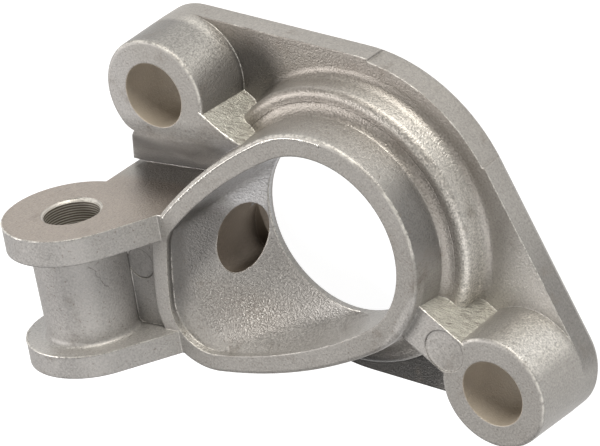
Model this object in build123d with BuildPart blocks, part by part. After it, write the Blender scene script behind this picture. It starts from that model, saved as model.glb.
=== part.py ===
from build123d import *
import os
from math import acos, asin, atan2, cos, degrees, radians, sin

# Lever holder bracket, one die casting, millimetres.
# The origin is on the bore axis in the flat back face. +Z points out of the bore's front mouth,
# and the two bolt holes lie on the X axis.

# Bolt bosses, rising from the flange's two ends and a little narrower at the front
bolt_spacing = 69.0
bolt_hole_d = 10.5
boss_r = 9.3
boss_draft = 1.7
boss_height = 15.0
boss_edge = 0.6

# Flange, with a bevel along its back edge
flange_thickness = 4.65
flange_centre_r = 26.8
flange_trim_r = 26.4
flange_trim_start = 61.0
flange_trim_end = 114.0
flange_bevel_height = 0.9
flange_bevel_angle = 30.0

# Hub: a thin stepped shell around the bore
bore_r = 14.75
hub_wall = 3.5
hub_draft = 1.5
rim_rise = 1.6
rim_edge = 0.6
ring_width = 4.45
ring_height = 9.65
ring_edge = 1.3
ring_cove = 2.6
ring_foot = 1.5
recess_r = 18.4
recess_depth = 7.1
recess_mouth_r = 22.3
recess_mouth_depth = 3.8

# Webs from the hub to the bosses
web_width = 7.0

# Scoop: the open funnel beside the bore, a rounded triangle in outline
scoop_side_x = -15.7
scoop_side_y = -18.4
scoop_side_r = 5.8
scoop_tip_x = -10.2
scoop_tip_y = -26.0
scoop_tip_r = 7.0
scoop_flank_r = 78.0
scoop_wall = 3.0
scoop_draft = 0.3
scoop_lip = 1.2
scoop_floor_height = 8.1
scoop_floor_reach = 0.04
scoop_floor_inset = 0.3

# Cored hole from the scoop's floor, open to the back recess on its inner side
cored_hole_length = 12.4
cored_hole_width = 6.8
cored_hole_x = -13.0
cored_hole_y = -14.8
cored_hole_tilt = 12.0
cored_hole_floor = 2.0

# Lug: two ears with a spool between them, and the pivot bore through all three
lug_angle = 53.0
ear_top = -1.2
ear_top_thickness = 4.3
ear_top_r = 11.0
ear_gap = 15.5
ear_low_thickness = 3.7
ear_low_r = 10.7
ear_low_inner = 10.7
ear_shoulder = 14.7
ear_dip = 1.0
pivot_reach = 44.7
ear_overhang = 1.7
pivot_height = 19.5
pivot_bore_d = 8.9
pivot_chamfer = 0.45
spool_top_r = 7.5
spool_low_r = 7.3
spool_foot = 0.9
web_height = 15.6
web_thickness = 3.5

# Gusset from the upper boss down to the top ear
gusset_crest = -14.1
gusset_round = 6.0
gusset_toe_height = 0.3
gusset_boss_x = -35.0
gusset_boss_y = -8.4
gusset_toe_x = -38.4
gusset_toe_y = -26.6

# Ejector pin marks
web_mark_d = 6.8
pin_mark_depth = 0.15
web_mark_x = 24.8
land_mark_d = 5.0
land_mark_along = 8.3
land_mark_back = 8.6

# Values worked out from the sizes above
boss_x = bolt_spacing / 2
hub_r = bore_r + hub_wall
rim_height = boss_height + rim_rise
ring_r = hub_r + ring_width
ear_top_inside = ear_top + ear_top_thickness
ear_low_inside = ear_top_inside + ear_gap
ear_low = ear_low_inside + ear_low_thickness
ear_outer = pivot_reach + ear_overhang
ear_root = pivot_reach - ear_shoulder
land_mark_reach = pivot_reach - land_mark_back
tilt = radians(lug_angle)
across = Vector(cos(tilt), -sin(tilt), 0)
outward = Vector(-sin(tilt), -cos(tilt), 0)
pivot = Vector(pivot_reach, pivot_height)


def lug_plane(along):
    """The plane across the lug at a distance along its axis: local X points outward, local Y is +Z."""
    return Plane(origin=across * along, x_dir=outward, z_dir=-across)


def scoop_outline(hub_grow, grow, reach):
    """The bore's circle and the scoop's two corner circles joined by bulged flanks, all tangent."""
    corners = [(Vector(0, 0), bore_r + hub_grow)]
    for centre, radius in (
            (Vector(scoop_side_x, scoop_side_y), scoop_side_r),
            (Vector(scoop_tip_x, scoop_tip_y), scoop_tip_r)):
        corners.append((centre * reach, bore_r + (radius - bore_r) * reach + grow))
    flank_r = scoop_flank_r + grow
    flanks = []
    for (start, start_r), (end, end_r) in zip(corners, corners[1:] + corners[:1]):
        span = end - start
        to_start = flank_r - start_r
        to_end = flank_r - end_r
        turn = acos((to_start ** 2 + span.length ** 2 - to_end ** 2) / (2 * to_start * span.length))
        centre = start + (span * (to_start / span.length)).rotate(Axis.Z, degrees(turn))
        first = centre + (start - centre) * (flank_r / to_start)
        last = centre + (end - centre) * (flank_r / to_end)
        middle = (first + last) / 2 - centre
        flanks.append((first, centre + middle * (flank_r / middle.length), last))
    edges = []
    for index, (centre, radius) in enumerate(corners):
        arrive = flanks[index - 1][2]
        leave = flanks[index][0]
        start_angle = degrees(atan2(arrive.Y - centre.Y, arrive.X - centre.X))
        end_angle = degrees(atan2(leave.Y - centre.Y, leave.X - centre.X))
        half = ((end_angle - start_angle) % 360) / 2
        crown = centre + (arrive - centre).rotate(Axis.Z, half)
        edges.append(ThreePointArc(arrive, crown, leave, mode=Mode.PRIVATE))
        edges.append(ThreePointArc(*flanks[index], mode=Mode.PRIVATE))
    return edges


with BuildPart() as bracket:
    # Bolt bosses
    with BuildSketch(Plane.XY.offset(flange_thickness)):
        with Locations((-boss_x, 0), (boss_x, 0)):
            Circle(boss_r)
    extrude(amount=boss_height - flange_thickness, taper=boss_draft)
    boss_rims = bracket.edges().filter_by(GeomType.CIRCLE).filter_by_position(
        Axis.Z, boss_height - 0.01, boss_height + 0.01)
    fillet(boss_rims, boss_edge)

    # Flange plate: the bosses' circles joined to a round middle, with the bevel below
    with BuildSketch(Plane.XY.offset(flange_bevel_height)) as flange_outline:
        with Locations((-boss_x, 0), (boss_x, 0)):
            Circle(boss_r)
        Circle(flange_centre_r)
        make_hull()
    extrude(amount=flange_thickness - flange_bevel_height)
    extrude(flange_outline.sketch, amount=-flange_bevel_height, taper=flange_bevel_angle)

    # The middle of the flange's long side is dressed back a little
    trim_start = Vector(2 * flange_centre_r, 0).rotate(Axis.Z, flange_trim_start)
    trim_end = Vector(2 * flange_centre_r, 0).rotate(Axis.Z, flange_trim_end)
    with BuildSketch(Plane.XY):
        with BuildLine():
            Polyline((0, 0), trim_start, trim_end, (0, 0))
        make_face()
        Circle(flange_trim_r, mode=Mode.SUBTRACT)
    extrude(amount=flange_thickness, mode=Mode.SUBTRACT)

    # Web along X to the right boss
    with BuildSketch(Plane.XY.offset(flange_bevel_height)):
        with Locations((boss_x / 2, 0)):
            Rectangle(boss_x, web_width)
    extrude(amount=boss_height - flange_bevel_height)

    # Left web and gusset in one block, trimmed with the boss by the slope down to the top ear
    with BuildSketch(Plane.XY):
        with BuildLine():
            Polyline(
                (-boss_x, web_width / 2), (gusset_boss_x, gusset_boss_y), (gusset_toe_x, gusset_toe_y),
                (scoop_side_x, scoop_side_y), (0, web_width / 2), (-boss_x, web_width / 2))
        make_face()
    extrude(amount=boss_height)
    with BuildSketch(Plane(origin=(0, 0, 0), x_dir=across, z_dir=outward)) as above_slope:
        with BuildLine():
            Polyline(
                (-bolt_spacing, boss_height), (gusset_crest, boss_height), (ear_top, gusset_toe_height),
                (ear_top, 2 * boss_height), (-bolt_spacing, 2 * boss_height), (-bolt_spacing, boss_height))
        make_face()
        crest = above_slope.vertices().filter_by_position(
            Axis.X, gusset_crest - 0.01, gusset_crest + 0.01)
        fillet(crest, gusset_round)
    extrude(amount=bolt_spacing, mode=Mode.SUBTRACT)

    # Scoop body and hub wall, in one outline that widens a little towards the back
    with BuildSketch(Plane.XY):
        with BuildLine():
            add(scoop_outline(hub_wall + hub_draft, scoop_wall + scoop_draft, 1))
        make_face()
    with BuildSketch(Plane.XY.offset(rim_height)):
        with BuildLine():
            add(scoop_outline(hub_wall, scoop_wall, 1))
        make_face()
    loft()
    rim = bracket.edges(Select.LAST).filter_by_position(Axis.Z, rim_height - 0.01, rim_height + 0.01)
    fillet(rim, rim_edge)

    # Ring at the foot of the hub, with a soft foot on the flange and a cove that ends inside the wall
    cove_top = ring_height + ring_cove
    with BuildSketch(Plane.XZ) as ring_profile:
        with BuildLine():
            Polyline(
                (hub_r, cove_top), (0, cove_top), (0, flange_bevel_height),
                (ring_r + ring_foot, flange_bevel_height), (ring_r + ring_foot, flange_thickness))
            RadiusArc(
                (ring_r + ring_foot, flange_thickness), (ring_r, flange_thickness + ring_foot), ring_foot)
            Polyline(
                (ring_r, flange_thickness + ring_foot), (ring_r, ring_height), (hub_r + ring_cove, ring_height))
            RadiusArc((hub_r + ring_cove, ring_height), (hub_r, cove_top), ring_cove)
        make_face()
        ring_corner = ring_profile.vertices().filter_by_position(
            Axis.X, ring_r - 0.01, ring_r + 0.01).sort_by(Axis.Y)[-1]
        fillet(ring_corner, ring_edge)
    revolve(axis=Axis.Z)

    # Ears
    for along, thickness, inner, round_r in (
            (ear_top_inside, ear_top_thickness, 0.0, ear_top_r),
            (ear_low, ear_low_thickness, ear_low_inner, ear_low_r)):
        root = Vector(ear_root, rim_height)
        rise = pivot - root
        front_angle = atan2(rise.Y, rise.X) + asin(round_r / rise.length)
        front_length = (rise.length ** 2 - round_r ** 2) ** 0.5
        front_tangent = root + Vector(cos(front_angle), sin(front_angle)) * front_length
        ear_back = Vector(ear_outer, pivot_height - (round_r ** 2 - (ear_outer - pivot_reach) ** 2) ** 0.5)
        with BuildSketch(lug_plane(along)):
            with BuildLine():
                Polyline(
                    ear_back, (ear_outer, 0), (inner, 0), (inner, rim_height - ear_dip), root, front_tangent)
                ThreePointArc(front_tangent, pivot + Vector(round_r, 0), ear_back)
            make_face()
        extrude(amount=thickness)

    # Spool with a soft foot on each ear, and the web behind it
    pivot_point = outward * pivot_reach + Vector(0, 0, pivot_height)
    spool_plane = Plane(origin=pivot_point, x_dir=across, z_dir=outward)
    with BuildSketch(spool_plane):
        with BuildLine():
            Polyline(
                (ear_top_inside, spool_top_r), (ear_top_inside, 0), (ear_low_inside, 0),
                (ear_low_inside, spool_low_r + spool_foot))
            RadiusArc(
                (ear_low_inside, spool_low_r + spool_foot), (ear_low_inside - spool_foot, spool_low_r), spool_foot)
            Line((ear_low_inside - spool_foot, spool_low_r), (ear_top_inside, spool_top_r))
        make_face()
    revolve(axis=Axis(pivot_point, across))
    with BuildSketch(lug_plane(ear_low_inside)):
        with Locations(((ear_root + pivot_reach) / 2, web_height - web_thickness / 2)):
            Rectangle(pivot_reach - ear_root + 4, web_thickness)
    extrude(amount=ear_gap)

    # Bore, back recess, the scoop's funnel and the cored hole
    with BuildSketch(Plane.XY):
        Circle(recess_mouth_r)
    extrude(amount=recess_mouth_depth, mode=Mode.SUBTRACT)
    with BuildSketch(Plane.XY):
        Circle(recess_r)
    extrude(amount=recess_depth, mode=Mode.SUBTRACT)
    with BuildSketch(Plane.XY):
        Circle(bore_r)
    extrude(amount=rim_height, mode=Mode.SUBTRACT)
    with BuildSketch(Plane.XY.offset(rim_height - scoop_lip)) as mouth:
        with BuildLine():
            add(scoop_outline(0, 0, 1))
        make_face()
    extrude(amount=scoop_lip, mode=Mode.SUBTRACT)
    with BuildSketch(Plane.XY.offset(scoop_floor_height)) as funnel_foot:
        with BuildLine():
            add(scoop_outline(-scoop_floor_inset, -scoop_floor_inset, scoop_floor_reach))
        make_face()
    loft([funnel_foot.sketch, mouth.sketch], ruled=True, mode=Mode.SUBTRACT)
    with BuildSketch(Plane.XY.offset(cored_hole_floor)):
        with Locations((cored_hole_x, cored_hole_y)):
            Ellipse(cored_hole_width / 2, cored_hole_length / 2, rotation=cored_hole_tilt)
    extrude(amount=rim_height - cored_hole_floor, mode=Mode.SUBTRACT)

    # Bolt holes and pivot bore
    with BuildSketch(Plane.XY):
        with Locations((-boss_x, 0), (boss_x, 0)):
            Circle(bolt_hole_d / 2)
    extrude(amount=boss_height, mode=Mode.SUBTRACT)
    with BuildSketch(lug_plane(ear_low)):
        with Locations(pivot):
            Circle(pivot_bore_d / 2)
    extrude(amount=ear_low - ear_top, mode=Mode.SUBTRACT)
    pivot_mouths = bracket.edges().filter_by(GeomType.CIRCLE).filter_by(
        lambda edge: abs(edge.radius - pivot_bore_d / 2) < 0.01)
    chamfer(pivot_mouths, pivot_chamfer)

    # Ejector pin marks on the right web and on the land between the ears
    with BuildSketch(Plane.XY.offset(boss_height - pin_mark_depth)):
        with Locations((web_mark_x, 0)):
            Circle(web_mark_d / 2)
    extrude(amount=pin_mark_depth, mode=Mode.SUBTRACT)
    land_mark = across * land_mark_along + outward * land_mark_reach
    with BuildSketch(Plane.XY.offset(web_height - pin_mark_depth)):
        with Locations((land_mark.X, land_mark.Y)):
            Circle(land_mark_d / 2)
    extrude(amount=pin_mark_depth, mode=Mode.SUBTRACT)

bracket.part.label = "lever_holder_bracket"
os.makedirs("parts", exist_ok=True)
export_step(bracket.part, "parts/lever_holder_bracket.step")
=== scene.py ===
import math

import bmesh
import bpy
from mathutils import Matrix, Vector, noise


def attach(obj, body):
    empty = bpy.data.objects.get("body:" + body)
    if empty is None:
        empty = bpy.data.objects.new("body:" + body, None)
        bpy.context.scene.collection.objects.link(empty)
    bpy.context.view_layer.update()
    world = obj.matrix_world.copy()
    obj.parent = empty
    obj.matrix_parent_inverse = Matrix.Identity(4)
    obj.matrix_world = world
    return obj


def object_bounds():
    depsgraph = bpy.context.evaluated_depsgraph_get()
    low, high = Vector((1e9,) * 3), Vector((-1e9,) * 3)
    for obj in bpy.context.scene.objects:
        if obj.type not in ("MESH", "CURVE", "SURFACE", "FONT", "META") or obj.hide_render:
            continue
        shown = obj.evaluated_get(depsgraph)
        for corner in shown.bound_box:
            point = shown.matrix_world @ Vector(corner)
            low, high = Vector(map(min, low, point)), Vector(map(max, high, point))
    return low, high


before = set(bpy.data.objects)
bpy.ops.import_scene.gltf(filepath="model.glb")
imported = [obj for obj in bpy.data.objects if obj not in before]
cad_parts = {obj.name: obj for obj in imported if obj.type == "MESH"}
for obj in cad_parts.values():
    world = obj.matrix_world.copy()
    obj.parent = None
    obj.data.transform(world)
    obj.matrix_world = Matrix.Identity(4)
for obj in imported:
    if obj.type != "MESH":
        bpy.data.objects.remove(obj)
MM = 0.001


def plain_bounds():
    """The whole object's box as plain lists of numbers."""
    return [[float(value) for value in corner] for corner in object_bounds()]


cad_box = plain_bounds()
scene = bpy.context.scene
scene.view_settings.view_transform = "Standard"

# Camera, from the fit to the photograph's holes, bore and rim
CAMERA_RIGHT = Vector((0.729835, 0.351305, -0.586452))
CAMERA_DOWN = Vector((0.642380, -0.645886, 0.412529))
CAMERA_FORWARD = Vector((-0.233858, -0.677803, -0.697061))
CAMERA_PLACE = Vector((0.152386, 0.454647, 0.482307))
LENS = 270.0
SENSOR = 36.0
FARTHEST_SEEN = 10.0

camera_data = bpy.data.cameras.new("camera")
camera_data.lens = LENS
camera_data.sensor_width = SENSOR
camera_data.sensor_fit = "HORIZONTAL"
camera_data.clip_end = FARTHEST_SEEN
camera = bpy.data.objects.new("camera", camera_data)
scene.collection.objects.link(camera)
turn = Matrix((CAMERA_RIGHT, -CAMERA_DOWN, -CAMERA_FORWARD)).transposed().to_4x4()
camera.matrix_world = Matrix.Translation(CAMERA_PLACE) @ turn
scene.camera = camera


class Nodes:
    """Short calls for building one material's node tree."""

    def __init__(self, name):
        self.material = bpy.data.materials.new(name)
        self.material.use_nodes = True
        self.tree = self.material.node_tree
        self.tree.nodes.clear()

    def add(self, kind, **values):
        node = self.tree.nodes.new(kind)
        for key, value in values.items():
            setattr(node, key, value)
        return node

    def link(self, source, target):
        self.tree.links.new(source, target)

    def feed(self, socket, value):
        """Links a socket to another one, or sets its value."""
        if isinstance(value, bpy.types.NodeSocket):
            self.link(value, socket)
        else:
            socket.default_value = value

    def math(self, operation, first, second=0.0, third=0.0):
        node = self.add("ShaderNodeMath", operation=operation)
        for socket, value in zip(node.inputs, (first, second, third)):
            self.feed(socket, value)
        return node.outputs[0]

    def inverse(self, mask):
        return self.math("SUBTRACT", 1.0, mask)

    def all_of(self, first, *others, strength=1.0):
        """Masks multiplied together, and weakened by a strength below one."""
        for other in others:
            first = self.math("MULTIPLY", first, other)
        if strength < 1.0:
            first = self.math("MULTIPLY", first, strength)
        return first

    def most(self, first, *others):
        """The strongest of several masks."""
        for other in others:
            first = self.math("MAXIMUM", first, other)
        return first

    def vector(self, operation, first, second=(0.0, 0.0, 0.0)):
        node = self.add("ShaderNodeVectorMath", operation=operation)
        self.feed(node.inputs[0], first)
        self.feed(node.inputs[1], second)
        gives_number = operation in ("DOT_PRODUCT", "LENGTH")
        return node.outputs["Value"] if gives_number else node.outputs[0]

    def dot(self, first, second):
        return self.vector("DOT_PRODUCT", first, second)

    def combine(self, x, y, z):
        node = self.add("ShaderNodeCombineXYZ")
        for socket, value in zip(node.inputs, (x, y, z)):
            self.feed(socket, value)
        return node.outputs[0]

    def alike(self, value):
        """A vector whose three parts are one value."""
        return self.combine(value, value, value)

    def split(self, vector):
        """The three parts of a vector."""
        node = self.add("ShaderNodeSeparateXYZ")
        self.link(vector, node.inputs[0])
        return node.outputs

    def place_in_mm(self):
        """The shaded place in the object's own millimetres."""
        metres = self.add("ShaderNodeTexCoord").outputs["Object"]
        return self.vector("MULTIPLY", metres, (1.0 / MM, 1.0 / MM, 1.0 / MM))

    def distance(self, x, y, centre):
        """Distance in the plane from a centre."""
        off_x = self.math("SUBTRACT", x, centre[0])
        off_y = self.math("SUBTRACT", y, centre[1])
        squares = self.math("MULTIPLY_ADD", off_x, off_x, self.math("MULTIPLY", off_y, off_y))
        return self.math("SQRT", squares)

    def noise(self, place, scale, detail=2.0, roughness=0.5):
        node = self.add("ShaderNodeTexNoise")
        self.link(place, node.inputs["Vector"])
        node.inputs["Scale"].default_value = scale
        node.inputs["Detail"].default_value = detail
        node.inputs["Roughness"].default_value = roughness
        return node.outputs["Fac"]

    def span(self, value, low, high, to_low=0.0, to_high=1.0, smooth=False):
        """A value's way from low to high, given as a number from to_low to to_high."""
        node = self.add("ShaderNodeMapRange", clamp=True)
        node.interpolation_type = "SMOOTHSTEP" if smooth else "LINEAR"
        self.feed(node.inputs["Value"], value)
        self.feed(node.inputs["From Min"], low)
        self.feed(node.inputs["From Max"], high)
        self.feed(node.inputs["To Min"], to_low)
        self.feed(node.inputs["To Max"], to_high)
        return node.outputs["Result"]

    def band(self, value, centre, half):
        """One at the centre, falling to nothing at half a width away."""
        away = self.math("ABSOLUTE", self.math("SUBTRACT", value, centre))
        return self.span(away, 0.0, half, to_low=1.0, to_high=0.0, smooth=True)

    def mix(self, factor, first, second):
        node = self.add("ShaderNodeMix", data_type="RGBA")
        self.feed(node.inputs["Factor"], factor)
        self.feed(node.inputs[6], first)
        self.feed(node.inputs[7], second)
        return node.outputs[2]

    def paint(self, colour, coat, mask, strength=1.0):
        """A colour with a coat of another one over it where the mask is."""
        return self.mix(self.all_of(mask, strength=strength), colour, coat)

    def end(self, surface):
        """Ends the tree in a surface and gives the material."""
        out = self.add("ShaderNodeOutputMaterial")
        self.link(surface, out.inputs["Surface"])
        return self.material


# Places on the casting, in millimetres, as the CAD has them. Below, right is +X and left is -X,
# the far side is +Y and the near side is -Y, and the front is +Z.
FLANGE_TOP = 4.65
RING_TOP = 9.65
FRONT_Z = 15.0
RIM_Z = 16.6
EDGE_ROUND = 0.6
BOSS_X = 34.5
BOLT_HOLE_R = 5.25
WEB_HALF = 3.5
LUG_ANGLE = math.radians(53.0)
ACROSS = Vector((math.cos(LUG_ANGLE), -math.sin(LUG_ANGLE), 0.0))
OUTWARD = Vector((-math.sin(LUG_ANGLE), -math.cos(LUG_ANGLE), 0.0))
PIVOT_REACH = 44.7
PIVOT_Z = 19.5
PIVOT = OUTWARD * PIVOT_REACH + Vector((0.0, 0.0, PIVOT_Z))
PIVOT_BORE_R = 4.45
CHAMFER = 0.45
EAR_TOP = -1.2
EAR_LOW = 22.3
PIVOT_MIDDLE = (EAR_TOP + EAR_LOW) / 2
PIVOT_HALF = (EAR_LOW - EAR_TOP) / 2
HOLE_CENTRE = Vector((-13.0, -14.8, 0.0))
HOLE_TILT = math.radians(12.0)
HOLE_HALF_WIDTH = 3.4
HOLE_HALF_LENGTH = 6.2
WEB_MARK = Vector((24.8, 0.0, 0.0))
WEB_MARK_R = 3.4
LAND_MARK_ACROSS = 8.3
LAND_MARK_OUT = 36.1
LAND_MARK = ACROSS * LAND_MARK_ACROSS + OUTWARD * LAND_MARK_OUT
LAND_MARK_R = 2.5

# Places that only the finish and the painted light and shade have, in millimetres
LUG_START = 29.0
RIM_LEFT = -7.0
HUB_NOOK = (-27.0, -10.5)
BOSS_NOOK = (-25.6, 4.5)
# Centre of the painted shadow of the left boss
BOSS_SHADOW = (-25.6, 6.5)
GROOVE_R = 20.5
FLOW_START = 5.2
FLOW_END = 10.8
FLOW_TOP = 4.7
FLOW_SLOPE = -0.5
FEED_PITCH = 0.42

# Directions that the finish and the painted light and shade follow; FAR_SIDE is the way the painted
# highlight faces
FAR_SIDE = Vector((math.cos(math.radians(92.0)), math.sin(math.radians(92.0)), 0.0))
FROM_SCOOP = (0.5, 0.866, 0.0)
DOWN_SCOOP = (0.35, -0.94, 0.0)
HUB_TO_NEAR_RIGHT = (0.45, -0.89, 0.0)
HUB_TO_FAR_RIGHT = (0.574, 0.819, 0.0)
FLANGE_END_WAY = (0.461, 0.887, 0.0)
ACROSS_SCRATCHES = (0.62, 0.0, 0.78)
ALONG_SCRATCHES = (0.78, 0.0, -0.62)

# Colours, linear
GREY = (0.375, 0.360, 0.338, 1.0)
PALE_GREY = (0.425, 0.410, 0.388, 1.0)
LUG_GREY = (0.470, 0.458, 0.445, 1.0)
# Painted highlight
HIGHLIGHT_PAINT = (0.780, 0.755, 0.700, 1.0)
EAR_BROWN = (0.365, 0.322, 0.285, 1.0)
# Pale tone, and painted light on shaded faces
PALE_AND_PAINTED_LIGHT = (0.620, 0.605, 0.585, 1.0)
WALL_SHADE = (0.130, 0.125, 0.120, 1.0)
# Painted light on a shaded wall
WALL_LIGHT_PAINT = (0.560, 0.555, 0.560, 1.0)
# Painted shadow and shade
DEEP_SHADE_PAINT = (0.085, 0.083, 0.080, 1.0)
RECESS_BROWN = (0.300, 0.272, 0.243, 1.0)
STAIN = (0.215, 0.185, 0.155, 1.0)
# Torn metal, also used for painted glints and painted edge highlights
BURR_AND_GLINT = (0.800, 0.780, 0.730, 1.0)
SHEARED = (0.660, 0.650, 0.580, 1.0)
HOLE_BROWN = (0.500, 0.440, 0.360, 1.0)
CORED_BROWN = (0.250, 0.205, 0.160, 1.0)
MACHINED = (0.620, 0.600, 0.540, 1.0)
GROOVE = (0.100, 0.090, 0.080, 1.0)

# The casting's surface
METALLIC = 0.62
BEVEL_R = 0.35 * MM
BEVEL_SAMPLES = 8
BUMP_DEPTH = 0.13 * MM
RING_LEAN = (0.0, 0.0, 0.3)


class Casting(Nodes):
    """The casting's nodes, with the places, facings, noises and regions that its masks share."""

    def __init__(self):
        super().__init__("cast_aluminium")
        self.read_places()
        self.read_facings()
        self.make_noises()
        self.find_regions()

    def read_places(self):
        """Where the shaded place is: from the bore's axis, along and across the lug, from the pivot."""
        self.place = self.place_in_mm()
        self.x, self.y, self.z = self.split(self.place)
        self.from_axis = self.distance(self.x, self.y, (0.0, 0.0))
        self.across_lug = self.dot(self.place, ACROSS)
        self.out_along_lug = self.dot(self.place, OUTWARD)
        from_pivot = self.vector("SUBTRACT", self.place, PIVOT)
        self.pivot_axial = self.dot(from_pivot, ACROSS)
        on_axis = self.vector("MULTIPLY", self.alike(self.pivot_axial), ACROSS)
        self.pivot_off = self.vector("LENGTH", self.vector("SUBTRACT", from_pivot, on_axis))

    def read_facings(self):
        """Which way the surface faces, with its edges sharp and with them rounded."""
        self.normal = self.add("ShaderNodeNewGeometry").outputs["True Normal"]
        self.facing = self.split(self.normal)
        bevel = self.add("ShaderNodeBevel", samples=BEVEL_SAMPLES)
        bevel.inputs["Radius"].default_value = BEVEL_R
        self.rounded_normal = bevel.outputs[0]
        self.rounded = self.split(self.rounded_normal)
        self.to_far = self.dot(self.rounded_normal, FAR_SIDE)

    def make_noises(self):
        self.grain = self.noise(self.place, scale=3.2, roughness=0.6)
        self.coarse = self.noise(self.place, scale=1.3, roughness=0.6)
        self.patches = self.noise(self.place, scale=0.07, detail=3.0, roughness=0.6)
        self.stains = self.noise(self.place, scale=0.22, detail=4.0, roughness=0.6)
        self.specks = self.noise(self.place, scale=1.1, detail=3.0, roughness=0.7)

    def find_regions(self):
        self.raised = self.span(self.z, 11.0, 14.5)
        self.flat = self.span(self.facing[2], 0.3, 0.8)
        past_bore = self.span(self.dot(self.place, FROM_SCOOP), -6.0, -9.0)
        above_floor = self.span(self.z, 6.6, 7.6)
        self.in_scoop = self.all_of(past_bore, above_floor)
        self.faces_bore = self.span(self.dot(self.normal, self.combine(self.x, self.y, 0.0)), -4.0, -9.0)
        self.off_ear_side = self.span(self.dot(self.normal, ACROSS), -0.8, -0.6)
        self.ear_side = self.inverse(self.off_ear_side)
        self.on_lug = self.all_of(self.span(self.out_along_lug, LUG_START, 34.0), self.off_ear_side)
        self.sheared = sheared_webs(self)
        self.off_web = self.inverse(self.sheared)
        self.on_ring = ring_slope(self)


def sheared_webs(n):
    """The flat far sides of the two webs."""
    in_plane = n.band(n.y, WEB_HALF, 0.06)
    faces_far = n.span(n.facing[1], 0.9, 0.95)
    outside_hub = n.span(n.math("ABSOLUTE", n.x), 17.0, 17.2)
    above_flange = n.span(n.z, FLANGE_TOP - 0.05, FLANGE_TOP + 0.15)
    return n.all_of(in_plane, faces_far, outside_hub, above_flange)


def ring_slope(n):
    """The far side of the raised ring round the hub's foot."""
    outside_hub = n.span(n.from_axis, 21.0, 22.0)
    inside_edge = n.span(n.from_axis, 25.5, 24.0)
    above_foot = n.span(n.z, 5.0, 5.8)
    below_top = n.span(n.z, 10.0, 9.6)
    far_half = n.span(n.y, -12.0, -5.0)
    more_at_right = n.span(n.x, -15.0, 0.0, to_low=0.15, to_high=0.88)
    on_slope = n.all_of(outside_hub, inside_edge, above_foot, below_top)
    return n.all_of(on_slope, far_half, n.off_web, more_at_right)


def body_colour(n):
    """Grey in two tones, browner in the recesses and paler on the lug."""
    colour = n.mix(n.span(n.patches, 0.35, 0.65), GREY, PALE_GREY)
    less_on_walls = n.span(n.flat, 0.0, 1.0, to_low=0.35)
    less_in_scoop = n.span(n.in_scoop, 0.0, 1.0, to_low=1.0, to_high=0.15)
    less_at_right = n.span(n.x, 12.0, 18.0, to_low=1.0, to_high=0.5)
    recess = n.all_of(n.inverse(n.raised), less_on_walls, less_in_scoop, less_at_right)
    colour = n.paint(colour, RECESS_BROWN, recess, strength=0.75)
    return n.paint(colour, LUG_GREY, n.on_lug, strength=0.85)


def painted_wall_highlight(n):
    """Painted highlight on the walls and the ring's slope where they face the far side."""
    faces_far = n.span(n.to_far, 0.80, 0.985, smooth=True)
    above_flange = n.span(n.z, 4.7, 6.0)
    less_on_hub = n.span(n.from_axis, 19.0, 20.5, to_low=0.05, to_high=0.5)
    less_on_left_boss = n.span(n.x, -28.0, -24.0, to_low=0.75)
    off_lug = n.span(n.out_along_lug, 31.0, LUG_START)
    walls = n.all_of(faces_far, above_flange, less_on_hub, less_on_left_boss, off_lug)
    less_facing_far = n.span(n.to_far, 0.0, 0.95, to_low=0.85, to_high=0.26)
    return n.most(walls, n.all_of(n.on_ring, less_facing_far))


def brown_hub_side(n):
    """The outer side of the hub and the ring, far and left of the bore."""
    left_half = n.span(n.x, 4.0, -6.0)
    far_half = n.span(n.y, -4.0, 2.0)
    outside_bore = n.span(n.from_axis, 17.5, 18.0)
    inside_edge = n.span(n.from_axis, 26.0, 25.0)
    below_rim = n.span(n.z, 16.0, 15.0)
    return n.all_of(left_half, far_half, outside_bore, inside_edge, below_rim, strength=0.35)


def pale_ear_low(n):
    """The lower ear's inner side."""
    return n.all_of(n.ear_side, n.span(n.across_lug, 12.0, 14.0), strength=0.5)


def painted_light_scoop_right(n):
    """Painted light on the scoop's right side, where it opens from the bore."""
    at_right = n.span(n.x, 2.0, 7.0, to_high=0.7)
    below_rim = n.span(n.z, 15.0, 14.0)
    near_axis = n.span(n.from_axis, 19.5, 17.5)
    return n.all_of(n.in_scoop, at_right, below_rim, near_axis)


def painted_light_hub_nook(n):
    """Painted light in the nook between the left boss, the gusset and the hub."""
    near_nook = n.span(n.distance(n.x, n.y, HUB_NOOK), 8.0, 5.0)
    return n.all_of(near_nook, n.span(n.z, 14.8, 14.0), strength=0.8)


def painted_light_flange(n):
    """Painted light on the flange's face on the far side of the right web."""
    at_flange = n.span(n.z, 6.0, 5.0)
    at_right = n.span(n.x, 20.0, 25.0)
    beyond_web = n.span(n.y, 2.0, 4.0)
    return n.all_of(n.flat, at_flange, at_right, beyond_web, strength=0.6)


def painted_light_bore_wall(n):
    """Painted light on the left wall of the bore, and of the scoop beside it, under the rim."""
    above_floor = n.span(n.z, 7.2, 7.8)
    below_rim = n.span(n.z, 16.3, 15.8)
    far_half = n.span(n.y, -13.0, -9.0)
    left_half = n.span(n.x, -6.0, -10.0)
    off_boss = n.span(n.x, -24.0, -21.0)
    return n.all_of(n.faces_bore, above_floor, below_rim, far_half, left_half, off_boss)


def painted_light_web_front(n):
    """Painted light on the right web's front face, fading towards the boss."""
    front_face = n.span(n.z, 14.5, 14.8)
    outside_hub = n.span(n.x, 16.5, 17.0)
    off_boss = n.span(n.distance(n.x, n.y, (BOSS_X, 0.0)), 8.0, 12.0, to_high=0.45)
    return n.all_of(front_face, outside_hub, off_boss)


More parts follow.
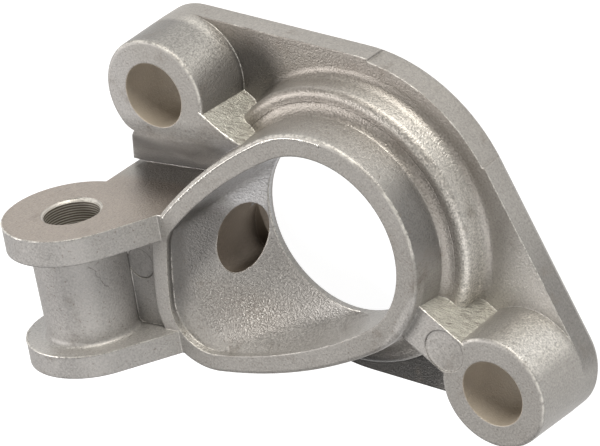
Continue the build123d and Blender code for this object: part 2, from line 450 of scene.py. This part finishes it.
def dark_boss_nook(n):
    """Walls in the nook between the left boss and its web."""
    near_nook = n.span(n.distance(n.x, n.y, BOSS_NOOK), 6.5, 3.5)
    on_wall = n.span(n.flat, 0.5, 0.2)
    above_flange = n.span(n.z, 4.7, 5.5)
    speckled = n.span(n.grain, 0.35, 0.65, to_low=0.1, to_high=0.5)
    return n.all_of(near_nook, on_wall, above_flange, speckled, n.off_web)


def dark_scoop_wall(n):
    """The scoop's left wall."""
    below_rim = n.span(n.z, 16.3, 15.8)
    at_left = n.span(n.x, -13.0, -16.5)
    near_half = n.span(n.y, -9.0, -13.0)
    return n.all_of(n.faces_bore, below_rim, at_left, near_half, strength=0.75)


def shadow_near_web(n):
    """Painted shadow on the flange, the ring and the hub's foot on the near side of the right web."""
    beyond_hub = n.span(n.dot(n.place, HUB_TO_NEAR_RIGHT), 17.0, 21.0)
    at_right = n.span(n.x, -1.0, 3.0)
    low_down = n.span(n.z, 11.5, 9.5, to_high=0.93)
    blotchy = n.span(n.stains, 0.25, 0.45, to_low=0.75)
    off_boss = n.span(n.x, 30.0, 23.0)
    return n.all_of(beyond_hub, at_right, low_down, blotchy, off_boss)


def shadow_beside_boss(n):
    """Painted shadow of the left boss on the flange's face beside it."""
    near_stain = n.span(n.distance(n.x, n.y, BOSS_SHADOW), 8.0, 4.0)
    return n.all_of(near_stain, n.span(n.z, 5.6, 4.9), strength=0.65)


def shade_on_hub_side(n):
    """Painted shade, speckled, on the hub's far wall above the ring."""
    at_far_side = n.span(n.dot(n.place, HUB_TO_FAR_RIGHT), 16.6, 18.2)
    on_hub = n.span(n.from_axis, 20.5, 19.5)
    above_ring = n.span(n.z, 9.9, 11.4)
    on_wall = n.span(n.flat, 0.6, 0.3)
    speckled = n.span(n.grain, 0.35, 0.65, to_low=0.45, to_high=0.8)
    return n.all_of(at_far_side, on_hub, above_ring, on_wall, speckled)


def shade_in_scoop(n):
    """Painted shade on the scoop's wall next to the lug."""
    next_to_lug = n.span(n.out_along_lug, 18.0, 23.0)
    on_wall = n.span(n.flat, 0.9, 0.4)
    below_rim = n.span(n.z, 15.5, 14.0)
    return n.all_of(n.in_scoop, next_to_lug, on_wall, below_rim, strength=0.5)


def brown_ear_top(n):
    """The top ear's outer side."""
    past_scoop = n.span(n.out_along_lug, 20.0, 24.0)
    above_foot = n.span(n.z, 5.0, 7.0)
    off_boss = n.span(n.across_lug, -8.0, -4.0)
    off_ear_low = n.span(n.across_lug, 6.0, 4.0)
    return n.all_of(n.ear_side, past_scoop, above_foot, off_boss, off_ear_low)


def dark_flange_end(n):
    """Painted shade on the flange's far edge at its right end."""
    faces_end = n.span(n.dot(n.rounded_normal, FLANGE_END_WAY), 0.85, 0.98)
    at_right = n.span(n.x, 20.0, 30.0)
    below_top = n.span(n.z, 4.9, 4.5)
    return n.all_of(faces_end, at_right, below_top, strength=0.45)


def scoop_glint_region(n):
    """The scoop's floor and lower slopes, browner and with painted glints."""
    below_rim = n.span(n.z, 14.5, 11.5)
    at_left = n.span(n.x, 2.0, -4.0)
    off_walls = n.span(n.flat, 0.0, 0.3)
    down_slope = n.span(n.dot(n.place, DOWN_SCOOP), 16.0, 20.0)
    return n.all_of(n.in_scoop, below_rim, at_left, off_walls, down_slope)


def tinted_colour(n, colour):
    """Tones, painted light and painted shade, one over another."""
    pale_tone_and_painted_light = n.most(pale_ear_low(n), painted_light_scoop_right(n), painted_light_hub_nook(n), painted_light_flange(n))
    painted_deep_shade = n.most(shadow_near_web(n), shade_in_scoop(n), shadow_beside_boss(n), shade_on_hub_side(n))
    colour = n.paint(colour, RECESS_BROWN, brown_hub_side(n))
    # Pale tone on the lower ear; painted light on the scoop's right, the hub's nook and the flange
    colour = n.paint(colour, PALE_AND_PAINTED_LIGHT, pale_tone_and_painted_light)
    # Painted light on the bore's left wall
    colour = n.paint(colour, WALL_LIGHT_PAINT, painted_light_bore_wall(n))
    # Painted light on the right web's front
    colour = n.paint(colour, PALE_AND_PAINTED_LIGHT, painted_light_web_front(n))
    colour = n.paint(colour, WALL_SHADE, dark_boss_nook(n))
    colour = n.paint(colour, WALL_SHADE, dark_scoop_wall(n))
    # Painted shadow and shade under the hub, beside the left boss, on the hub's side and in the scoop
    colour = n.paint(colour, DEEP_SHADE_PAINT, painted_deep_shade)
    colour = n.paint(colour, EAR_BROWN, brown_ear_top(n))
    # Painted shade on the flange's right end
    return n.paint(colour, DEEP_SHADE_PAINT, dark_flange_end(n))


def speckled_colour(n, colour, painted_highlight):
    """Faint stains, dark specks, painted glints in the scoop, fine grain that is stronger under the
    painted highlight, and pits.
    """
    colour = n.paint(colour, STAIN, n.span(n.stains, 0.56, 0.78, to_high=0.5, smooth=True))
    colour = n.paint(colour, STAIN, n.span(n.specks, 0.66, 0.74, to_high=0.55))
    glint_region = scoop_glint_region(n)
    painted_glints = n.span(n.noise(n.place, scale=4.0, detail=1.0), 0.55, 0.66, to_high=0.75)
    colour = n.paint(colour, RECESS_BROWN, glint_region, strength=0.75)
    # Painted glints on the scoop's floor
    colour = n.paint(colour, BURR_AND_GLINT, n.all_of(glint_region, painted_glints))
    contrast = n.span(painted_highlight, 0.0, 0.8, to_low=0.26, to_high=0.6)
    shade = n.math("MULTIPLY_ADD", n.span(n.grain, 0.25, 0.75, to_low=-1.0), contrast, 1.0)
    colour = n.vector("MULTIPLY", colour, n.alike(shade))
    pits = n.span(n.noise(n.place, scale=2.4, detail=1.0), 0.66, 0.73, to_high=0.55)
    return n.paint(colour, STAIN, n.all_of(pits, n.most(n.on_lug, n.raised)))


def rounded_edge_under(n, top):
    """One at the height of the rounded edge under a level face."""
    above_foot = n.span(n.z, top - EDGE_ROUND, top - EDGE_ROUND + 0.1)
    below_top = n.span(n.z, top + 0.1, top + 0.05)
    return n.all_of(above_foot, below_top)


def burrs_and_edge_highlight(n):
    """Torn metal on front edges that face the far side, and rolled over the rim and the bosses, painted
    bright as the highlight that it catches.
    """
    at_edge = n.span(n.inverse(n.dot(n.rounded_normal, n.normal)), 0.004, 0.06)
    faces_far = n.span(n.rounded[1], 0.15, 0.35)
    faces_front = n.span(n.rounded[2], 0.15, 0.35)
    torn = n.span(n.coarse, 0.36, 0.56)
    in_stretches = n.span(n.noise(n.place, scale=0.16, detail=1.0), 0.42, 0.50)
    torn_in_stretches = n.all_of(torn, in_stretches)
    sharp_edge = n.all_of(at_edge, faces_far, faces_front, torn_in_stretches)

    torn_at_left = n.all_of(torn, n.span(n.x, RIM_LEFT, RIM_LEFT - 3.0))
    on_boss = n.span(n.math("ABSOLUTE", n.x), 25.0, 25.5)
    boss_edge = n.all_of(rounded_edge_under(n, FRONT_Z), on_boss)
    rounded_edge = n.most(rounded_edge_under(n, RIM_Z), boss_edge)
    half_turned = n.band(n.facing[2], 0.70, 0.36)
    turned_far = n.span(n.facing[1], 0.05, 0.2)
    rolled = n.all_of(half_turned, turned_far, rounded_edge, n.most(torn_in_stretches, torn_at_left))
    return n.most(sharp_edge, rolled)


def crossing_scratches(n):
    """Noise drawn out into bent scratches that slant over the webs."""
    bend = n.span(n.noise(n.place, scale=0.35), 0.0, 1.0, to_low=-1.2, to_high=1.2)
    across = n.math("ADD", n.dot(n.place, ACROSS_SCRATCHES), bend)
    along = n.dot(n.place, ALONG_SCRATCHES)
    drawn_out = n.combine(n.math("MULTIPLY", across, 4.5), n.math("MULTIPLY", along, 0.45), 0.0)
    return n.noise(drawn_out, scale=1.0, detail=3.0, roughness=0.7)


def bolt_holes(n):
    """The walls of the two bolt holes."""
    from_left = n.distance(n.x, n.y, (-BOSS_X, 0.0))
    from_right = n.distance(n.x, n.y, (BOSS_X, 0.0))
    from_nearer = n.math("MINIMUM", from_left, from_right)
    return n.span(from_nearer, BOLT_HOLE_R + 0.1, BOLT_HOLE_R + 0.05)


def cored_hole(n):
    """The wall and the floor of the oval cored hole."""
    width_way = Vector((math.cos(HOLE_TILT), math.sin(HOLE_TILT), 0.0))
    length_way = Vector((-math.sin(HOLE_TILT), math.cos(HOLE_TILT), 0.0))
    from_hole = n.vector("SUBTRACT", n.place, HOLE_CENTRE)
    part_of_width = n.dot(from_hole, width_way / HOLE_HALF_WIDTH)
    part_of_length = n.dot(from_hole, length_way / HOLE_HALF_LENGTH)
    return n.span(n.distance(part_of_width, part_of_length, (0.0, 0.0)), 1.02, 1.01)


def pivot_chamfers(n):
    """The chamfers at the pivot bore's two mouths."""
    from_middle = n.math("ABSOLUTE", n.math("SUBTRACT", n.pivot_axial, PIVOT_MIDDLE))
    at_mouth = n.span(from_middle, PIVOT_HALF - CHAMFER - 0.1, PIVOT_HALF - CHAMFER)
    round_bore = n.band(n.pivot_off, PIVOT_BORE_R + CHAMFER / 2, 0.22)
    return n.all_of(round_bore, at_mouth, strength=0.7)


def web_mark(n):
    """The circle that an ejector pin left on the right web's front face."""
    circle = n.band(n.distance(n.x, n.y, WEB_MARK), WEB_MARK_R, 0.13)
    return n.all_of(circle, n.span(n.z, 14.5, 14.7))


def land_mark(n):
    """The pin's circle on the web behind the spool."""
    circle = n.band(n.distance(n.x, n.y, LAND_MARK), LAND_MARK_R, 0.13)
    return n.all_of(circle, n.span(n.z, 15.2, 15.3), n.span(n.z, 15.9, 15.8))


def ring_groove(n):
    """The shaky groove on the ring's top."""
    shake = n.span(n.coarse, 0.0, 1.0, to_low=-0.25, to_high=0.25)
    on_circle = n.band(n.math("ADD", n.from_axis, shake), GROOVE_R, 0.14)
    in_stretches = n.span(n.noise(n.place, scale=0.35), 0.40, 0.55, to_low=0.25, to_high=0.8)
    above_slope = n.span(n.z, RING_TOP - 0.25, RING_TOP - 0.15)
    below_hub = n.span(n.z, RING_TOP + 0.95, RING_TOP + 0.75)
    far_half = n.span(n.y, -6.0, -5.0)
    return n.all_of(on_circle, in_stretches, above_slope, below_hub, far_half)


def flow_line(n):
    """The line where two flows of metal met, winding down the spool."""
    from_start = n.math("SUBTRACT", n.pivot_axial, FLOW_START)
    straight = n.math("MULTIPLY_ADD", from_start, FLOW_SLOPE, PIVOT_Z + FLOW_TOP)
    wander = n.span(n.noise(n.place, scale=0.9), 0.0, 1.0, to_low=-0.9, to_high=0.9)
    on_line = n.band(n.math("SUBTRACT", n.z, n.math("ADD", straight, wander)), 0.0, 0.16)
    past_start = n.span(n.pivot_axial, FLOW_START - 0.2, FLOW_START + 0.3)
    before_end = n.span(n.pivot_axial, FLOW_END, FLOW_END - 1.5)
    near_spool = n.span(n.pivot_off, 8.6, 8.4)
    bore_side = n.span(n.out_along_lug, 44.0, 43.0)
    return n.all_of(on_line, past_start, before_end, near_spool, bore_side, strength=0.8)


def relief(n, streaks, feed, in_pivot, cut):
    """Blasted grain everywhere, dragged along the walls, with scratches, feed marks and cut lines."""
    drawn_out = n.vector("MULTIPLY", n.place, (3.6, 3.6, 0.8))
    drag = n.noise(drawn_out, scale=1.0, roughness=0.6)
    height = n.math("ADD", n.all_of(n.grain, strength=0.8), n.all_of(n.coarse, strength=0.3))
    height = n.math("ADD", height, n.all_of(drag, n.inverse(n.flat), strength=0.6))
    height = n.math("SUBTRACT", height, n.all_of(cut, strength=0.6))
    height = n.math("ADD", height, n.all_of(streaks, n.sheared, strength=0.8))
    return n.math("ADD", height, n.all_of(feed, in_pivot, strength=0.35))


def casting_material():
    """Shot-blasted die-cast aluminium with its sheared webs, burrs, stains and machined bore, and with
    painted highlights, glints, light and shade.
    """
    n = Casting()
    streaks = crossing_scratches(n)
    in_bolt_hole = bolt_holes(n)
    in_cored_hole = cored_hole(n)
    in_pivot = n.span(n.pivot_off, PIVOT_BORE_R + 0.06, PIVOT_BORE_R + 0.03)
    feed = n.math("SINE", n.math("MULTIPLY", n.pivot_axial, 2.0 * math.pi / FEED_PITCH))
    web_circle = web_mark(n)
    lines = n.most(web_circle, land_mark(n), ring_groove(n), flow_line(n))
    painted_highlight = painted_wall_highlight(n)

    # Painted highlight on the walls and the ring's slope that face the far side
    colour = n.paint(body_colour(n), HIGHLIGHT_PAINT, painted_highlight)
    colour = tinted_colour(n, colour)
    colour = speckled_colour(n, colour, painted_highlight)
    # Burrs on the edges, painted bright as their highlight
    colour = n.paint(colour, BURR_AND_GLINT, burrs_and_edge_highlight(n), strength=0.85)
    scratched = n.mix(n.span(streaks, 0.34, 0.56), RECESS_BROWN, SHEARED)
    colour = n.paint(colour, scratched, n.sheared)
    colour = n.paint(colour, HOLE_BROWN, in_bolt_hole, strength=0.9)
    colour = n.paint(colour, CORED_BROWN, in_cored_hole, strength=0.9)
    feed_marks = n.mix(n.span(feed, -0.3, 0.8), STAIN, MACHINED)
    colour = n.paint(colour, feed_marks, in_pivot)
    colour = n.paint(colour, BURR_AND_GLINT, pivot_chamfers(n))
    colour = n.paint(colour, GROOVE, lines, strength=0.55)

    # The circle of the web's pin mark is mostly dirt, so little of it is cut in
    cut = n.math("SUBTRACT", lines, n.all_of(web_circle, strength=0.85))
    smooth_face = n.all_of(n.flat, n.span(n.z, 14.0, 14.6))
    matte = n.most(smooth_face, n.on_lug, in_bolt_hole, in_cored_hole)
    bump = n.add("ShaderNodeBump")
    bump.inputs["Distance"].default_value = BUMP_DEPTH
    n.link(n.span(matte, 0.0, 1.0, to_low=0.9, to_high=0.45), bump.inputs["Strength"])
    n.link(relief(n, streaks, feed, in_pivot, cut), bump.inputs["Height"])
    lean = n.vector("MULTIPLY", n.alike(n.on_ring), RING_LEAN)
    n.link(n.vector("NORMALIZE", n.vector("ADD", n.rounded_normal, lean)), bump.inputs["Normal"])

    shader = n.add("ShaderNodeBsdfPrincipled")
    shader.inputs["Metallic"].default_value = METALLIC
    n.link(colour, shader.inputs["Base Color"])
    grainy = n.span(n.grain, 0.3, 0.7, to_low=0.36, to_high=0.54)
    n.link(n.math("MULTIPLY_ADD", matte, 0.18, grainy), shader.inputs["Roughness"])
    n.link(bump.outputs[0], shader.inputs["Normal"])
    return n.end(shader.outputs[0])


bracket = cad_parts["lever_holder_bracket"]
bracket.data.materials.clear()
bracket.data.materials.append(casting_material())


# Flash: a thin ragged bead along the sharp front edges that face the far side and at the rim's left
FLASH_R = 0.20 * MM
FLASH_SIDES = 8
FLASH_STEP = 0.20 * MM
FLASH_SUNK = 0.45
FLASH_AT_RIM = 1.35
FLASH_WHEN_LOW = 0.6
FLASH_METALLIC = 0.6
FLASH_LOWEST = 4.0
LOW_EDGE = 6.0
RIM_FLASH_WAY = Vector((-0.8, 0.6, 0.0))
BOSS_LEFT = -20.0
SHARP = math.radians(40.0)
WELD = 0.001 * MM
NEAR = 0.1


def high_at_left(place, lowest):
    """Whether a place is as high as the rim, on its left side and short of the lug."""
    return place.z > lowest and place.x < RIM_LEFT and place.dot(OUTWARD) < LUG_START


def stays_bare(middle, far):
    """Whether an edge has no flash: at a bolt hole, in the bore, at the pin mark or low down."""
    from_boss = math.hypot(abs(middle.x) - BOSS_X, middle.y)
    at_bolt_hole = abs(from_boss - BOLT_HOLE_R) < 0.2
    faces_axis = middle.x * far.x + middle.y * far.y < 0.0
    in_bore = faces_axis and middle.z > 12.0 and middle.dot(OUTWARD) < LUG_START
    from_mark = math.hypot(middle.x - WEB_MARK.x, middle.y)
    at_mark = from_mark < WEB_MARK_R + 1.2 and middle.y < WEB_HALF - NEAR
    low_at_left = middle.z < LOW_EDGE and middle.x < 4.0
    return at_bolt_hole or in_bore or at_mark or low_at_left or middle.z < FLASH_LOWEST


def flash_edges(mesh):
    """The edges with flash, each with its two ends and the ways out on its far and its front side.

    They are sharp outer edges between a front face and a far-side face, and the upper line of
    the rim's rounded edge at its left.
    """
    copy = bmesh.new()
    copy.from_mesh(mesh)
    bmesh.ops.remove_doubles(copy, verts=copy.verts, dist=WELD)
    found = []
    for edge in copy.edges:
        if len(edge.link_faces) != 2 or not edge.is_convex:
            continue
        normals = [face.normal.copy() for face in edge.link_faces]
        far, front = sorted(normals, key=lambda normal: normal.z)
        start, end = (corner.co.copy() for corner in edge.verts)
        middle = start.lerp(end, 0.5) / MM
        if high_at_left(middle, RIM_Z - NEAR) and front.z > 0.999 and 0.3 < far.z < 0.999:
            outward = Vector((far.x, far.y, 0.0)).normalized()
            if outward.dot(RIM_FLASH_WAY) > 0.3:
                found.append((start, end, outward, front))
            continue
        if edge.calc_face_angle() < SHARP or stays_bare(middle, far):
            continue
        if far.y > 0.3 and abs(far.z) < 0.3 and front.z > 0.35:
            found.append((start, end, far, front))
    copy.free()
    return found


def ragged(place, scale, least, spread):
    """A factor that varies along a bead."""
    return least + spread * abs(noise.noise(place * scale))


def in_stretches(place, scale, gain, usual, least):
    """A factor of one at most, which thins a bead in stretches."""
    return min(1.0, max(least, gain * noise.noise(place * scale) + usual))


def flash_radius(place):
    """Ragged radius of a bead at a place.

    It is full along the webs and fuller at the rim's left, thin and broken on low edges and
    about the left boss, and in stretches elsewhere.
    """
    place = place / MM
    radius = FLASH_R * ragged(place, scale=1.3, least=0.55, spread=0.9)
    if abs(place.y - WEB_HALF) < NEAR:
        return radius
    if high_at_left(place, FRONT_Z + 0.5):
        return FLASH_R * FLASH_AT_RIM * ragged(place, scale=1.7, least=0.4, spread=1.3)
    about_left_boss = place.x < BOSS_LEFT and place.dot(OUTWARD) < LUG_START
    if place.z < LOW_EDGE or about_left_boss:
        broken = in_stretches(place, scale=0.5, gain=3.0, usual=0.5, least=0.1)
        return radius * FLASH_WHEN_LOW * broken
    return radius * in_stretches(place, scale=0.12, gain=2.5, usual=0.7, least=0.3)


def flash_mesh(edges, low, high):
    """A bead along every edge, sunk a little into the casting and kept inside the box."""
    corners = []
    faces = []
    for first, last, far, front in edges:
        steps = max(1, round((last - first).length / FLASH_STEP))
        start = len(corners)
        for step in range(steps + 1):
            place = first.lerp(last, step / steps)
            radius = flash_radius(place)
            centre = place - (far + front) * radius * FLASH_SUNK
            for side in range(FLASH_SIDES):
                angle = 2.0 * math.pi * side / FLASH_SIDES
                corner = centre + (far * math.cos(angle) + front * math.sin(angle)) * radius
                boxed = [min(max(value, least), most) for value, least, most in zip(corner, low, high)]
                corners.append(boxed)
        for step in range(steps):
            near = start + FLASH_SIDES * step
            beyond = near + FLASH_SIDES
            for side in range(FLASH_SIDES):
                beside = (side + 1) % FLASH_SIDES
                faces.append((near + side, near + beside, beyond + beside, beyond + side))
        end = start + FLASH_SIDES * steps
        faces.append(tuple(start + side for side in reversed(range(FLASH_SIDES))))
        faces.append(tuple(end + side for side in range(FLASH_SIDES)))
    mesh = bpy.data.meshes.new("parting_flash")
    mesh.from_pydata(corners, [], faces)
    mesh.validate()
    return mesh


def flash_material():
    """Bright torn metal."""
    n = Nodes("torn_flash")
    torn = n.noise(n.place_in_mm(), scale=2.6, detail=3.0, roughness=0.7)
    shader = n.add("ShaderNodeBsdfPrincipled")
    shader.inputs["Metallic"].default_value = FLASH_METALLIC
    n.link(n.mix(n.span(torn, 0.36, 0.56, to_high=0.85), GREY, BURR_AND_GLINT), shader.inputs["Base Color"])
    n.link(n.span(torn, 0.3, 0.7, to_low=0.3, to_high=0.55), shader.inputs["Roughness"])
    return n.end(shader.outputs[0])


flash = bpy.data.objects.new("parting_flash", flash_mesh(flash_edges(bracket.data), *cad_box))
scene.collection.objects.link(flash)
flash.data.materials.append(flash_material())
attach(flash, "root")


# Floor: white to the camera and in reflections, and it keeps the object's shadow
FLOOR_HALF = 1.5
FLOOR_DROP = 0.02 * MM
FLOOR_GREY = (0.3, 0.3, 0.3, 1.0)
FLOOR_WHITE = (1.0, 1.0, 1.0, 1.0)
FLOOR_GLOW = 0.9
FLOOR_SEEN = 0.96


def floor_material():
    """Grey to the light, and glowing to the camera and in reflections."""
    n = Nodes("pale_floor")
    rays = n.add("ShaderNodeLightPath")
    reflected = n.most(rays.outputs["Is Glossy Ray"], rays.outputs["Is Transmission Ray"])
    glowing = n.all_of(reflected, strength=FLOOR_GLOW)
    seen = n.all_of(rays.outputs["Is Camera Ray"], strength=FLOOR_SEEN)
    plain = n.add("ShaderNodeBsdfDiffuse")
    plain.inputs["Color"].default_value = FLOOR_GREY
    glow = n.add("ShaderNodeEmission")
    glow.inputs["Color"].default_value = FLOOR_WHITE
    n.link(n.most(glowing, seen), glow.inputs["Strength"])
    both = n.add("ShaderNodeAddShader")
    n.link(plain.outputs[0], both.inputs[0])
    n.link(glow.outputs[0], both.inputs[1])
    return n.end(both.outputs[0])


floor_corners = [
    (-FLOOR_HALF, -FLOOR_HALF, 0), (FLOOR_HALF, -FLOOR_HALF, 0),
    (FLOOR_HALF, FLOOR_HALF, 0), (-FLOOR_HALF, FLOOR_HALF, 0)]
floor_mesh = bpy.data.meshes.new("floor")
floor_mesh.from_pydata(floor_corners, [], [(0, 1, 2, 3)])
floor_mesh.materials.append(floor_material())
floor = bpy.data.objects.new("floor", floor_mesh)
scene.collection.objects.link(floor)
floor.location.z = -FLOOR_DROP


# World and lamps
WORLD_COLOUR = (1.0, 0.99, 0.97, 1.0)
WORLD_STRENGTH = 0.08
LAMP_DISTANCE = 1.2

world = bpy.data.worlds.new("world")
scene.world = world
world.use_nodes = True
world.node_tree.nodes.clear()
background = world.node_tree.nodes.new("ShaderNodeBackground")
world_out = world.node_tree.nodes.new("ShaderNodeOutputWorld")
world.node_tree.links.new(background.outputs[0], world_out.inputs["Surface"])
background.inputs["Color"].default_value = WORLD_COLOUR
background.inputs["Strength"].default_value = WORLD_STRENGTH


def area_lamp(name, azimuth, elevation, size, power, colour):
    """A square soft lamp that shines on the object from a direction given in degrees."""
    data = bpy.data.lights.new(name, "AREA")
    data.shape = "SQUARE"
    data.size = size
    data.energy = power
    data.color = colour
    lamp = bpy.data.objects.new(name, data)
    scene.collection.objects.link(lamp)
    around = math.radians(azimuth)
    up = math.radians(elevation)
    level = math.cos(up)
    direction = Vector((level * math.cos(around), level * math.sin(around), math.sin(up)))
    aim = direction.to_track_quat("Z", "Y").to_matrix().to_4x4()
    lamp.matrix_world = Matrix.Translation(direction * LAMP_DISTANCE) @ aim


area_lamp("left_softbox", azimuth=208.0, elevation=45.0, size=0.6, power=9.6, colour=(1.0, 0.975, 0.965))
area_lamp("far_softbox", azimuth=110.0, elevation=14.0, size=0.45, power=12.0, colour=(1.0, 0.965, 0.90))
area_lamp("right_fill", azimuth=0.0, elevation=48.0, size=0.9, power=7.5, colour=(1.0, 0.985, 0.975))
